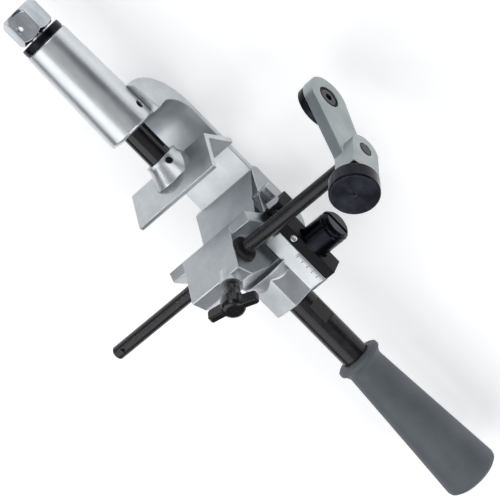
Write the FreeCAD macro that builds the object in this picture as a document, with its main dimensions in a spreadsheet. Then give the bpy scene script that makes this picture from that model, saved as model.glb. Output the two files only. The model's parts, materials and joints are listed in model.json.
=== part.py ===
"""Hand tool that strips high-voltage cable, as an assembly of separate pieces.

Frame: the cable lies along Y and its centre is the origin. X runs along the tool,
from the feed nut (-X) to the hand grip (+X). Z points out of the open side of the
C-shaped frame. Lengths are millimetres, angles are degrees.
"""
import FreeCAD, Part
import math
import os
import re
import Sketcher

# Driving dimensions: name, value, what it measures. Distances along X are counted
# from the cable's centre, towards the feed nut or towards the grip.
DIMENSIONS = [
    ("barrel_end", 67, "cable centre to the barrel's open end"),
    ("barrel_top", 154, "cable centre to the barrel's top"),
    ("barrel_radius", 19.4, "barrel, at its open end"),
    ("barrel_top_radius", 17.4, "barrel, at its top"),
    ("plunger_radius", 9.5, "plunger"),
    ("screw_radius", 6, "feed screw thread"),
    ("nut_flats", 27, "feed nut, across flats"),
    ("nut_top", 183.5, "cable centre to the top of the feed nut"),
    ("frame_width", 53, "C-frame, along the cable"),
    ("arm_width", 44, "C-frame at the top of its arm, along the cable"),
    ("frame_back", 45, "cable centre to the back of the frame"),
    ("spine_wall", 9, "wall of the C-frame's spine"),
    ("arm_top", 93, "cable centre to the top of the C-frame"),
    ("vee_angle", 53, "half angle of both vees"),
    ("jaw_ridge", 33, "cable centre to the moving jaw's ridge"),
    ("jaw_rise", 24.4, "height of one jaw leg from the ridge"),
    ("jaw_length", 78, "moving jaw, along the cable"),
    ("jaw_wall", 4, "thickness of the moving jaw"),
    ("vee_root", 41, "cable centre to the root of the fixed vee"),
    ("vee_rise", 23.1, "height of the fixed vee's front lip"),
    ("vee_wall", 8.5, "thickness of the fixed vee's front leg"),
    ("rod_radius", 5.3, "stop rod"),
    ("rod_along", 42.8, "stop rod centre, along X"),
    ("rod_height", 33.4, "stop rod centre, above the cable centre"),
    ("rod_outer_end", 135, "stop rod, end that carries the arm"),
    ("rod_free_end", 122, "stop rod, free end"),
    ("guide_back", 34, "guide block, end on the free side of the rod"),
    ("guide_front", 14, "guide block, end on the arm's side"),
    ("wing_tilt", 25, "wing screw, lean from Z towards the grip"),
    ("knife_seat", 33, "plane on which the knife block slides"),
    ("knife_depth", 8.4, "knife block, along the cable"),
    ("knife_head_depth", 16.4, "knife block's head, along the cable"),
    ("knife_top", 12, "top of the knife block, above the cable centre"),
    ("knife_height", 18, "knife block, along Z"),
    ("knife_start", 36, "cable centre to the knife block's head"),
    ("knife_stud_along", 76.5, "knife clamp stud, along X"),
    ("knife_stud_height", 3, "knife clamp stud, above the cable centre"),
    ("knife_knob_radius", 12.2, "knife clamp knob"),
    ("boss_flats", 37.2, "handle boss, across flats"),
    ("boss_end", 101, "cable centre to the end of the handle boss"),
    ("handle_radius", 11, "handle rod"),
    ("grip_start", 162, "cable centre to the grip's flange"),
    ("grip_end", 291, "cable centre to the end of the grip"),
    ("arm_reach", 52.5, "stop arm, rod centre to pad centre"),
    ("arm_angle", 45, "stop arm, from -X towards -Z"),
    ("arm_tip_radius", 17.2, "stop arm, round end"),
    ("arm_block_half", 12, "half width of the stop arm's clamp block"),
    ("arm_depth", 18, "stop arm's clamp block, along the rod"),
    ("arm_plate", 8.5, "stop arm's plate, along the rod"),
    ("arm_tilt", 19, "clamp block, lean from Z towards the grip"),
    ("arm_knob_radius", 17.3, "arm clamp knob"),
    ("pad_radius", 16.5, "stop pad"),
    ("stud_radius", 4, "clamp studs"),
    ("running_gap", 0.05, "radial clearance of a running fit"),
]
SIZES = {name: value for name, value, meaning in DIMENSIONS}

document = FreeCAD.newDocument("CableStrippingTool")
sheet = document.addObject("Spreadsheet::Sheet", "Dimensions")
for row, (name, value, meaning) in enumerate(DIMENSIONS, start=1):
    sheet.set(f"A{row}", name)
    sheet.set(f"B{row}", str(value))
    sheet.setAlias(f"B{row}", name)
    sheet.set(f"C{row}", meaning)
document.recompute()

nodes = []


# ---------------------------------------------------------------- shared helpers
def bound(text):
    """The expression with each dimension's name pointing at its cell."""
    def cell(match):
        word = match.group(0)
        return f"Dimensions.{word}" if word in SIZES else word
    return re.sub(r"[a-z_]+", cell, str(text))


def number(text):
    """The value of an expression in the driving dimensions."""
    return float(sheet.evalExpression(bound(text)))


def unique(stem):
    """A free internal name for a construction object."""
    return f"{stem}_{len(document.Objects)}"


def drive(item, **properties):
    """Bind properties of an object to expressions in the driving dimensions."""
    for key, text in properties.items():
        item.setExpression(key, bound(text))
    return item


def place(item, at=("0", "0", "0"), turn=None):
    """Put an object at a bound position, turned by a fixed rotation."""
    rotation = turn or FreeCAD.Rotation()
    item.Placement = FreeCAD.Placement(FreeCAD.Vector(0, 0, 0), rotation)
    for axis, text in zip("xyz", at):
        item.setExpression(f"Placement.Base.{axis}", bound(text))
    return item


def turn_to(start, end):
    """The rotation that carries one direction to another."""
    return FreeCAD.Rotation(FreeCAD.Vector(*start), FreeCAD.Vector(*end))


ALONG_X = (1, 0, 0)
ALONG_Y = (0, 1, 0)
ALONG_Z = (0, 0, 1)


def tilted(angle_name):
    """Unit direction that leans from Z towards +X by one of the sheet's angles."""
    angle = math.radians(SIZES[angle_name])
    return (math.sin(angle), 0, math.cos(angle))


def rod_point(distance, angle_name):
    """Point at a distance from the rod's centre, along a direction that leans from Z."""
    return (f"rod_along + ({distance}) * sin({angle_name})", "0",
            f"rod_height + ({distance}) * cos({angle_name})")


def node(item, label):
    """Name a finished sub-part; its label names its file."""
    item.Label = label
    nodes.append(item)
    return item


def cylinder(radius, length, at=("0", "0", "0"), along=ALONG_Z):
    item = document.addObject("Part::Cylinder", unique("cylinder"))
    drive(item, Radius=radius, Height=length)
    return place(item, at, turn_to(ALONG_Z, along))


def cone(radius_start, radius_end, length, at=("0", "0", "0"), along=ALONG_Z):
    item = document.addObject("Part::Cone", unique("cone"))
    drive(item, Radius1=radius_start, Radius2=radius_end, Height=length)
    return place(item, at, turn_to(ALONG_Z, along))


def box(size, at, turn=None):
    item = document.addObject("Part::Box", unique("box"))
    drive(item, Length=size[0], Width=size[1], Height=size[2])
    return place(item, at, turn)


def prism(sides, corner_radius, length, at, along, roll=0.0):
    """Regular prism; roll turns it about its own axis."""
    item = document.addObject("Part::Prism", unique("prism"))
    item.Polygon = sides
    drive(item, Circumradius=corner_radius, Height=length)
    own_roll = FreeCAD.Rotation(FreeCAD.Vector(0, 0, 1), roll)
    return place(item, at, turn_to(ALONG_Z, along).multiply(own_roll))


def joined(*pieces):
    item = document.addObject("Part::MultiFuse", unique("joined"))
    item.Shapes = list(pieces)
    item.Refine = True
    return item


def cut(base, *tools):
    item = document.addObject("Part::Cut", unique("cut"))
    item.Base = base
    item.Tool = tools[0] if len(tools) == 1 else joined(*tools)
    item.Refine = True
    return item


def common(first, second):
    item = document.addObject("Part::MultiCommon", unique("common"))
    item.Shapes = [first, second]
    return item


def origin_plane(body, role):
    return next(item for item in body.Origin.OriginFeatures if item.Role == role)


def outline_sketch(body, role, *outlines):
    """Closed straight-sided outlines whose corners are dimensioned from the origin."""
    sketch = body.newObject("Sketcher::SketchObject", unique("outline"))
    sketch.AttachmentSupport = (origin_plane(body, role), [""])
    sketch.MapMode = "FlatFace"
    for corners in outlines:
        first = sketch.GeometryCount
        points = [FreeCAD.Vector(number(across), number(up), 0) for across, up in corners]
        count = len(points)
        for index, point in enumerate(points):
            sketch.addGeometry(Part.LineSegment(point, points[(index + 1) % count]), False)
        for index in range(count):
            following = first + (index + 1) % count
            sketch.addConstraint(
                Sketcher.Constraint("Coincident", first + index, 2, following, 1))
        for index, (across, up) in enumerate(corners):
            point = points[index]
            for kind, text, size in (("DistanceX", across, point.x), ("DistanceY", up, point.y)):
                rule = Sketcher.Constraint(kind, -1, 1, first + index, 1, size)
                constraint = sketch.addConstraint(rule)
                sketch.setExpression(f"Constraints[{constraint}]", bound(text))
    return sketch


def turned(profile, at=("0", "0", "0"), along=ALONG_X):
    """Body of revolution: the profile's first value runs along the axis, the second is a radius."""
    body = document.addObject("PartDesign::Body", unique("turned"))
    sketch = outline_sketch(body, "XZ_Plane", profile)
    solid = body.newObject("PartDesign::Revolution", unique("revolution"))
    solid.Profile = sketch
    solid.ReferenceAxis = (sketch, ["H_Axis"])
    solid.Angle = 360
    document.recompute()
    return place(body, at, turn_to(ALONG_X, along))


def slab(corners, start, depth):
    """Plate of constant section: the outline lies in XZ and the plate runs from start along +Y."""
    body = document.addObject("PartDesign::Body", unique("slab"))
    sketch = outline_sketch(body, "XZ_Plane", corners)
    pad = body.newObject("PartDesign::Pad", unique("pad"))
    pad.Profile = sketch
    pad.Reversed = True
    drive(pad, Length=depth)
    document.recompute()
    return place(body, ("0", start, "0"))


def dress(body, kind, size, wanted):
    """Fillet or chamfer the edges of a body's last feature that the test picks."""
    base = body.Tip
    names = []
    for index, edge in enumerate(base.Shape.Edges, start=1):
        if wanted(edge):
            names.append(f"Edge{index}")
    feature = body.newObject(f"PartDesign::{kind}", unique(kind.lower()))
    feature.Base = (base, names)
    drive(feature, **{"Radius" if kind == "Fillet" else "Size": size})
    document.recompute()
    return body


def runs_along_y(edge):
    ends = [vertex.Point for vertex in edge.Vertexes]
    if len(ends) != 2:
        return False
    return abs(ends[0].x - ends[1].x) < 1e-6 and abs(ends[0].z - ends[1].z) < 1e-6


def corner_at(across, up):
    """Test for the edge along Y that passes through one corner of an outline."""
    across_value = number(across)
    up_value = number(up)

    def wanted(edge):
        point = edge.Vertexes[0].Point
        near = abs(point.x - across_value) < 1e-3 and abs(point.z - up_value) < 1e-3
        return near and runs_along_y(edge)
    return wanted


# ---------------------------------------------------------------- feed drive
def make_barrel():
    """Tapered barrel with a plain bore for the plunger and a counterbore for the thrust flange."""
    bore = "plunger_radius + running_gap"
    profile = [
        ("-barrel_top + 1", "14.5"),
        ("-barrel_top", "15.5"),
        ("-barrel_top", "barrel_top_radius - 0.8"),
        ("-barrel_top + 0.8", "barrel_top_radius"),
        ("-barrel_end - 3", "barrel_radius"),
        ("-barrel_end - 0.9", "barrel_radius - 0.9"),
        ("-barrel_end", "barrel_radius - 3"),
        ("-barrel_end", bore),
        ("-barrel_top + 10.5", bore),
        ("-barrel_top + 10.5", "14.5"),
    ]
    body = turned(profile)
    key_hole = cylinder("3", "20", ("-barrel_end - 11", "5", "0"), ALONG_Y)
    return node(cut(body, key_hole), "feed_barrel")


def make_collar():
    """Black threaded ring that closes the barrel and holds the feed screw's flange."""
    profile = [
        ("-barrel_top - 6", "8.1"),
        ("-barrel_top - 6", "16"),
        ("-barrel_top - 5.3", "16.7"),
        ("-barrel_top - 0.7", "16.7"),
        ("-barrel_top", "16"),
        ("-barrel_top", "14.5"),
        ("-barrel_top + 3", "14.5"),
        ("-barrel_top + 3", "8.1"),
    ]
    return node(turned(profile), "retainer_collar")


def make_thrust_washer(label, start):
    ring = cut(cylinder("13.4", "2", (start, "0", "0"), ALONG_X),
               cylinder("8.1", "4", (f"{start} - 1", "0", "0"), ALONG_X))
    return node(ring, label)


def make_feed_screw():
    """Captive screw: neck for the nut, thrust flange, then the plain-cored thread."""
    profile = [
        ("-nut_top + 5", "0"),
        ("-nut_top + 5", "screw_radius - 0.6"),
        ("-nut_top + 5.6", "screw_radius"),
        ("-barrel_top - 7", "screw_radius"),
        ("-barrel_top - 7", "8"),
        ("-barrel_top + 5", "8"),
        ("-barrel_top + 5", "12.5"),
        ("-barrel_top + 8.5", "12.5"),
        ("-barrel_top + 8.5", "8"),
        ("-barrel_top + 11.5", "8"),
        ("-barrel_top + 12.5", "screw_radius"),
        ("-barrel_end - 12", "screw_radius"),
        ("-barrel_end - 11", "screw_radius - 1"),
        ("-barrel_end - 11", "0"),
    ]
    body = turned(profile)
    pin_hole = cylinder("2", "30", ("-nut_top + 11.5", "0", "-15"), ALONG_Z)
    return node(cut(body, pin_hole), "feed_screw")


def make_feed_nut():
    """Hexagon head with both ends chamfered round, a collar at its foot and a centre hole."""
    hexagon = prism(6, "nut_flats / sqrt(3)", "nut_top - barrel_top - 7",
                    ("-nut_top", "0", "0"), ALONG_X, 15)
    rounding = turned([
        ("-nut_top", "0"),
        ("-nut_top", "12"),
        ("-nut_top + 4.6", "nut_flats / 2 + 2.3"),
        ("-barrel_top - 10", "nut_flats / 2 + 2.3"),
        ("-barrel_top - 7", "13"),
        ("-barrel_top - 7", "0"),
    ])
    socket = cylinder("8.2", "3", ("-nut_top", "0", "0"), ALONG_X)
    hole = cylinder("screw_radius", "40", ("-nut_top", "0", "0"), ALONG_X)
    pin_hole = cylinder("2", "40", ("-nut_top + 11.5", "0", "-20"), ALONG_Z)
    return node(cut(common(hexagon, rounding), socket, hole, pin_hole), "feed_nut")


def make_drive_pin():
    length = "nut_flats - 2"
    pin = cylinder("2", length, ("-nut_top + 11.5", "0", f"-({length}) / 2"), ALONG_Z)
    return node(pin, "drive_pin")


def make_plunger():
    """Hollow plunger with a keyway on its +Y side and a seat for the bronze nut."""
    profile = [
        ("-122", "7.5"),
        ("-122", "plunger_radius - 1"),
        ("-121", "plunger_radius"),
        ("-jaw_ridge + 2", "plunger_radius"),
        ("-jaw_ridge + 3", "plunger_radius - 1"),
        ("-jaw_ridge + 3", "0"),
        ("-50", "0"),
        ("-50", "screw_radius + 0.4"),
        ("-104", "screw_radius + 0.4"),
        ("-104", "7.5"),
    ]
    body = turned(profile)
    keyway = box(("58", "4", "4"), ("-103", "7.7", "-2"))
    return node(cut(body, keyway), "plunger")


def make_plunger_nut():
    ring = cut(cylinder("7.5", "18", ("-122", "0", "0"), ALONG_X),
               cylinder("screw_radius + running_gap", "20", ("-123", "0", "0"), ALONG_X))
    return node(ring, "plunger_nut")


def make_key_screw():
    """Dog-point set screw whose tip runs in the plunger's keyway."""
    screw = turned([
        ("8", "0"),
        ("8", "1.95"),
        ("9.9", "1.95"),
        ("9.9", "3"),
        ("17.2", "3"),
        ("17.8", "2.4"),
        ("17.8", "0"),
    ], ("-barrel_end - 11", "0", "0"), ALONG_Y)
    socket = prism(6, "1.75", "4", ("-barrel_end - 11", "14.5", "0"), ALONG_Y)
    return node(cut(screw, socket), "key_screw")


# ---------------------------------------------------------------- moving jaw
def make_jaw():
    """Angle plate with a flared boss on its ridge that takes the plunger's nose."""
    reach = "jaw_rise / tan(vee_angle)"
    inner = "jaw_wall / sin(vee_angle)"
    tip_x = f"-jaw_ridge + {reach}"
    lip_x = f"{tip_x} + jaw_wall * sin(vee_angle)"
    lip_z = "jaw_rise - jaw_wall * cos(vee_angle)"
    plate = slab([
        ("-jaw_ridge", "0"),
        (tip_x, "jaw_rise"),
        (lip_x, lip_z),
        (f"-jaw_ridge + {inner}", "0"),
        (lip_x, f"-({lip_z})"),
        (tip_x, "-jaw_rise"),
    ], "-jaw_length / 2", "jaw_length")
    boss = joined(
        cylinder("12.7", "20", ("-jaw_ridge - 7.3", "0", "0"), ALONG_X),
        cone("12.7", "19", "13", ("-jaw_ridge - 3.5", "0", "0"), ALONG_X))
    mouth = slab([
        (f"-jaw_ridge + {inner}", "0"),
        (lip_x, lip_z),
        (f"{lip_x} + 20", lip_z),
        (f"{lip_x} + 20", f"-({lip_z})"),
        (lip_x, f"-({lip_z})"),
    ], "-jaw_length / 2 - 1", "jaw_length + 2")
    seat = cylinder("plunger_radius", "10.3", ("-jaw_ridge - 7.3", "0", "0"), ALONG_X)
    screw_hole = cylinder("2.5", "10", ("-jaw_ridge - 2.8", "6", "6"), (0, 1, 1))
    return node(cut(joined(plate, boss), mouth, seat, screw_hole), "v_jaw")


def make_jaw_set_screw():
    screw = turned([
        ("plunger_radius", "0"),
        ("plunger_radius", "2"),
        ("plunger_radius + 0.5", "2.5"),
        ("12", "2.5"),
        ("12", "0"),
    ], ("-jaw_ridge - 2.8", "0", "0"), (0, 1, 1))
    return node(screw, "jaw_set_screw")


# ---------------------------------------------------------------- cast frame
def vee_rear_x():
    """Where the fixed vee's rear face meets the spine's inner face."""
    return "vee_root - (frame_back - spine_wall) / tan(vee_angle)"


def make_c_band():
    """C-shaped band: upper arm, rounded shoulder and spine, narrower at the top of its arm."""
    inner = "-(frame_back - spine_wall)"
    shoulder = 34
    band = slab([
        ("-arm_top", "-5"),
        ("-arm_top", "-frame_back"),
        ("62", "-frame_back"),
        ("62", inner),
        ("-barrel_end + 1", inner),
        ("-barrel_end + 1", "-5"),
    ], "-frame_width / 2", "frame_width")
    dress(band, "Fillet", shoulder, corner_at("-arm_top", "-frame_back"))
    dress(band, "Fillet", "20", corner_at("-barrel_end + 1", inner))
    sides = outline_sketch(band, "XY_Plane", *[
        [
            ("-arm_top - 5", f"frame_width / 2 + {side} * arm_width / 2"),
            ("-arm_top + 40", f"frame_width / 2 + {side} * frame_width / 2"),
            ("-arm_top + 40", f"frame_width / 2 + {side} * (frame_width / 2 + 5)"),
            ("-arm_top - 5", f"frame_width / 2 + {side} * (frame_width / 2 + 5)"),
        ] for side in (1, -1)])
    taper = band.newObject("PartDesign::Pocket", unique("taper"))
    taper.Profile = sides
    taper.Type = "ThroughAll"
    taper.Midplane = True
    document.recompute()
    top = -SIZES["arm_top"]
    back = -SIZES["frame_back"]

    def on_outside(point):
        from_axis = math.hypot(point.x - top - shoulder, point.z - back - shoulder)
        on_top = abs(point.x - top) < 1e-3
        on_back = abs(point.z - back) < 1e-3
        return on_top or on_back or abs(from_axis - shoulder) < 1e-2

    def rim(edge):
        span = edge.LastParameter - edge.FirstParameter
        points = [edge.valueAt(edge.FirstParameter + share * span) for share in (0.1, 0.5, 0.9)]
        one_side = all((point.y - points[0].y) ** 2 < 25 for point in points)
        return one_side and all(on_outside(point) for point in points)
    return dress(band, "Fillet", "5.5", rim)


def make_vee():
    """Fixed vee: a long front leg with a lip, and a rear leg that rises from the spine."""
    lip_x = "vee_root - vee_rise / tan(vee_angle)"
    out_x = "vee_wall * sin(vee_angle)"
    out_z = "vee_wall * cos(vee_angle)"
    rear_leg = slab([
        (vee_rear_x(), "-(frame_back - spine_wall)"),
        ("vee_root", "0"),
        ("vee_root + 11", "0"),
        ("vee_root + 11", "-frame_back"),
        (vee_rear_x(), "-frame_back"),
    ], "-guide_back", "guide_back + frame_width / 2 + 0.5")
    dress(rear_leg, "Fillet", "4", corner_at(vee_rear_x(), "-frame_back"))
    in_x = "4 * cos(vee_angle)"
    in_z = "4 * sin(vee_angle)"
    front_leg = slab([
        (lip_x, "vee_rise"),
        (f"vee_root + {in_x}", f"-{in_z}"),
        (f"vee_root + {out_x} + {in_x}", f"{out_z} - {in_z}"),
        (f"{lip_x} + {out_x}", f"vee_rise + {out_z}"),
    ], "-guide_back - 14.5", "guide_back + 45.5")
    return rear_leg, front_leg


def make_guide():
    """Guide block for the stop rod, with a raised seat for the wing screw."""
    guide = slab([
        ("vee_root - vee_rise / tan(vee_angle)", "vee_rise"),
        ("rod_along + 2.9", "rod_height + 21.1"),
        ("rod_along + 14.7", "rod_height + 13.6"),
        ("rod_along + 22.7", "rod_height - 9.4"),
        ("vee_root + 27", "5"),
        ("vee_root + 12", "-10"),
        ("vee_root", "0"),
    ], "-guide_back", "guide_back + guide_front")
    dress(guide, "Fillet", "6", corner_at("rod_along + 14.7", "rod_height + 13.6"))
    dress(guide, "Fillet", "6", corner_at("rod_along + 22.7", "rod_height - 9.4"))
    dress(guide, "Fillet", "1.2", corner_at("rod_along + 2.9", "rod_height + 21.1"))
    seat = cylinder("8", "11.5", rod_point("13", "wing_tilt"), tilted("wing_tilt"))
    return guide, seat


def make_core():
    """Body behind the vee: it carries the knife plate, the graduated rail and the handle boss."""
    core = slab([
        ("vee_root", "0"),
        ("vee_root + 27", "5"),
        ("80", "0"),
        ("84", "-12"),
        ("66", "-frame_back"),
        ("vee_root", "-frame_back"),
    ], "-frame_width / 2", "frame_width")
    dress(core, "Fillet", "14", corner_at("66", "-frame_back"))
    dress(core, "Fillet", "6", corner_at("84", "-12"))
    knife_plate = slab([
        ("vee_root - 1", "-12"),
        ("vee_root - 1", "-1"),
        ("vee_root + 13", "knife_top"),
        ("boss_end + 1", "knife_top"),
        ("boss_end + 1", "0"),
        ("boss_end - 11", "-12"),
    ], "knife_seat - 15", "15")
    dress(knife_plate, "Fillet", "3", corner_at("boss_end + 1", "knife_top"))
    rail = box(("22", "knife_seat - 19", "9"), ("vee_root - 14", "21", "-27"))
    boss = prism(6, "boss_flats / sqrt(3)", "boss_end - 70", ("70", "0", "0"), ALONG_X, 45)
    collar = cone("24", "18.6", "9", ("70", "0", "0"), ALONG_X)
    return core, knife_plate, rail, boss, collar


def make_frame():
    """One-piece casting: C-band, fixed vee, rod guide, knife seat and handle boss."""
    casting = joined(make_c_band(), *make_vee(), *make_guide(), *make_core())
    barrel_seat = cone("barrel_top_radius", "barrel_radius", "barrel_top - barrel_end - 3.8",
                       ("-barrel_top + 0.8", "0", "0"), ALONG_X)
    barrel_mouth = cylinder("barrel_radius", "12", ("-barrel_end - 3", "0", "0"), ALONG_X)
    rod_bore = cylinder("8", "guide_back + guide_front + 2",
                        ("rod_along", "-guide_back - 1", "rod_height"), ALONG_Y)
    wing_bore = cylinder("stud_radius", "40", ("rod_along", "0", "rod_height"),
                         tilted("wing_tilt"))
    handle_bore = cylinder("9", "40", ("boss_end - 25", "0", "0"), ALONG_X)
    knife_bore = cylinder("stud_radius", "25", ("knife_stud_along", "17", "knife_stud_height"),
                          ALONG_Y)
    rail_groove = box(("40", "1.4", "3"), ("vee_root - 20", "knife_seat - 4.8", "-20"))
    frame = cut(casting, barrel_seat, barrel_mouth, rod_bore, wing_bore, handle_bore, knife_bore,
                rail_groove)
    return node(frame, "main_frame")


# ---------------------------------------------------------------- stop rod and arm
def make_rod_bush(label, start, length, flange):
    """Plain bush for the stop rod, with or without a flange on its +Y end."""
    outer = [cylinder("8", length, ("rod_along", start, "rod_height"), ALONG_Y)]
    if flange:
        outer.append(cone("9.9", "9.2", "3.4", ("rod_along", f"{start} + {length}", "rod_height"),
                          ALONG_Y))
    bore = cylinder("rod_radius + running_gap", "60", ("rod_along", f"{start} - 1", "rod_height"),
                    ALONG_Y)
    body = joined(*outer) if flange else outer[0]
    return node(cut(body, bore), label)


def make_rod():
    profile = [
        ("-rod_free_end", "0"),
        ("-rod_free_end", "rod_radius - 1.2"),
        ("-rod_free_end + 1.2", "rod_radius"),
        ("rod_outer_end - 1", "rod_radius"),
        ("rod_outer_end", "rod_radius - 1"),
        ("rod_outer_end", "0"),
    ]
    rod = turned(profile, ("rod_along", "0", "rod_height"), ALONG_Y)
    hole = cylinder("1.75", "30", ("rod_along", "-rod_free_end + 8", "rod_height - 15"), ALONG_Z)
    return node(cut(rod, hole), "stop_rod")


def make_rod_pin():
    pin = cylinder("1.75", "2 * rod_radius + 4",
                   ("rod_along", "-rod_free_end + 8", "rod_height - rod_radius - 2"), ALONG_Z)
    return node(pin, "rod_stop_pin")


def make_wing_screw():
    """Moulded wing head: a slim neck, a domed hub and two rounded wings."""
    way = tilted("wing_tilt")
    start = rod_point("25", "wing_tilt")
    hub = turned([
        ("0", "0"),
        ("0", "5.6"),
        ("6", "5.8"),
        ("10", "7.2"),
        ("14", "8.7"),
        ("20", "8.9"),
        ("22.6", "7.6"),
        ("23.6", "5"),
        ("23.6", "0"),
    ], start, way)
    wing = document.addObject("PartDesign::Body", unique("wing"))
    sketch = outline_sketch(wing, "YZ_Plane", [
        ("-19", "16"),
        ("-17.4", "14.6"),
        ("-7", "13"),
        ("7", "13"),
        ("17.4", "14.6"),
        ("19", "16"),
        ("19", "22"),
        ("17.4", "23.4"),
        ("7", "22.4"),
        ("-7", "22.4"),
        ("-17.4", "23.4"),
        ("-19", "22"),
    ])
    pad = wing.newObject("PartDesign::Pad", unique("pad"))
    pad.Profile = sketch
    pad.Length = 5.6
    pad.Midplane = True
    document.recompute()
    dress(wing, "Fillet", "1", lambda edge: True)
    spin = FreeCAD.Rotation(FreeCAD.Vector(0, 0, 1), -17.6)
    place(wing, start, turn_to(ALONG_Z, way).multiply(spin))
    bore = cylinder("stud_radius", "18", start, way)
    return node(cut(joined(hub, wing), bore), "wing_screw")


def make_wing_stud():
    """Stud from the wing screw down to the clamp pad on the rod."""
    profile = [
        ("0", "0"),
        ("0", "stud_radius - 0.8"),
        ("0.8", "stud_radius - 0.03"),
        ("34.5", "stud_radius - 0.03"),
        ("34.5", "0"),
    ]
    return node(turned(profile, rod_point("8.5", "wing_tilt"), tilted("wing_tilt")), "wing_stud")


def make_clamp_pad():
    """Soft metal slug between the wing screw's stud and the rod."""
    slug = cylinder("stud_radius - 0.1", "2.9", rod_point("rod_radius + 0.1", "wing_tilt"),
                    tilted("wing_tilt"))
    return node(slug, "rod_clamp_pad")


def make_arm():
    """Cast swing arm: tapered plate with a round end, and a clamp block round the rod."""
    back = "rod_outer_end - arm_depth"
    tip_x = "rod_along - arm_reach * cos(arm_angle)"
    tip_z = "rod_height - arm_reach * sin(arm_angle)"
    side_x = "sin(arm_angle)"
    side_z = "-cos(arm_angle)"
    wide = "(arm_tip_radius - 0.2)"
    root = "(arm_block_half + 1)"
    plate = slab([
        (f"{tip_x} + {wide} * {side_x}", f"{tip_z} + {wide} * {side_z}"),
        (f"rod_along + {root} * {side_x}", f"rod_height + {root} * {side_z}"),
        (f"rod_along - {root} * {side_x}", f"rod_height - {root} * {side_z}"),
        (f"{tip_x} - {wide} * {side_x}", f"{tip_z} - {wide} * {side_z}"),
    ], back, "arm_plate")
    tip = cylinder("arm_tip_radius", "arm_plate", (tip_x, back, tip_z), ALONG_Y)
    top = cylinder("arm_block_half", "arm_depth", ("rod_along", back, "rod_height"), ALONG_Y)
    half_x = "arm_block_half * cos(arm_tilt)"
    half_z = "arm_block_half * sin(arm_tilt)"
    low_x = "21.5 * sin(arm_tilt)"
    low_z = "21.5 * cos(arm_tilt)"
    block = slab([
        (f"rod_along - {half_x}", f"rod_height + {half_z}"),
        (f"rod_along - {half_x} + {low_x}", f"rod_height + {half_z} + {low_z}"),
        (f"rod_along + {half_x} + {low_x}", f"rod_height - {half_z} + {low_z}"),
        (f"rod_along + {half_x}", f"rod_height - {half_z}"),
    ], back, "arm_depth")
    recess = cylinder("8.6", "10", (tip_x, f"{back} + arm_plate - 4.5", tip_z), ALONG_Y)
    pad_bore = cylinder("4 + running_gap", "30", (tip_x, f"{back} - 5", tip_z), ALONG_Y)
    rod_bore = cylinder("rod_radius + 0.02", "60",
                        ("rod_along", f"{back} - 5", "rod_height"), ALONG_Y)
    stud_bore = cylinder("stud_radius", "40", arm_stud_point("0"), tilted("arm_tilt"))
    arm = cut(joined(plate, tip, top, block), recess, pad_bore, rod_bore, stud_bore)
    return node(arm, "stop_arm")


def arm_stud_point(distance):
    """Point on the axis of the stud that clamps the arm to the rod."""
    along, _, height = rod_point(distance, "arm_tilt")
    return (along, "rod_outer_end - 12.2", height)


def pad_point(offset):
    """Point on the stop pad's axis, counted from the pad's face next to the arm."""
    return ("rod_along - arm_reach * cos(arm_angle)",
            f"rod_outer_end - arm_depth - 0.8 + ({offset})",
            "rod_height - arm_reach * sin(arm_angle)")


def make_arm_knob():
    """Turned disc knob on a short neck, with a small centre mark in its face."""
    profile = [
        ("0", "0"),
        ("0", "10"),
        ("1.6", "10"),
        ("1.6", "arm_knob_radius - 2"),
        ("3.6", "arm_knob_radius"),
        ("14.6", "arm_knob_radius"),
        ("15.6", "arm_knob_radius - 1"),
        ("15.6", "1.2"),
        ("14.8", "0"),
    ]
    knob = turned(profile, arm_stud_point("22"), tilted("arm_tilt"))
    bore = cylinder("stud_radius", "11", arm_stud_point("22"), tilted("arm_tilt"))
    return node(cut(knob, bore), "arm_knob")


def make_arm_stud():
    """Stud between the arm knob and the rod, with a flat tip just clear of the rod."""
    profile = [
        ("0", "0"),
        ("0", "stud_radius - 0.8"),
        ("0.8", "stud_radius - 0.03"),
        ("27.4", "stud_radius - 0.03"),
        ("27.4", "0"),
    ]
    stud = turned(profile, arm_stud_point("rod_radius + 0.3"), tilted("arm_tilt"))
    return node(stud, "arm_stud")


def make_stop_pad():
    """Round pad that bears on the cable's end, with a tapped hole for its shoulder screw."""
    profile = [
        ("-5.6", "0"),
        ("-5.6", "pad_radius - 1"),
        ("-4.6", "pad_radius"),
        ("-1", "pad_radius"),
        ("0", "pad_radius - 1"),
        ("0", "0"),
    ]
    pad = turned(profile, pad_point("0"), ALONG_Y)
    hole = cylinder("3", "4", pad_point("-4"), ALONG_Y)
    return node(cut(pad, hole), "stop_pad")


def make_pad_screw():
    """Shoulder screw: socket head in the arm's recess, shoulder through the arm."""
    profile = [
        ("-4", "0"),
        ("-4", "3"),
        ("0", "3"),
        ("0", "4"),
        ("arm_plate - 3.5", "4"),
        ("arm_plate - 3.5", "6.9"),
        ("arm_plate - 0.3", "6.9"),
        ("arm_plate + 0.2", "6.4"),
        ("arm_plate + 0.2", "0"),
    ]
    screw = turned(profile, pad_point("0"), ALONG_Y)
    socket = prism(6, "3.1", "4", pad_point("arm_plate - 2.6"), ALONG_Y)
    return node(cut(screw, socket), "pad_screw")


# ---------------------------------------------------------------- knife unit
def knife_point(along, across, height):
    """Point on the knife unit: from the head's end, the knife seat and the cable centre."""
    return (f"knife_start + {along}", f"knife_seat + {across}", height)


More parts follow.
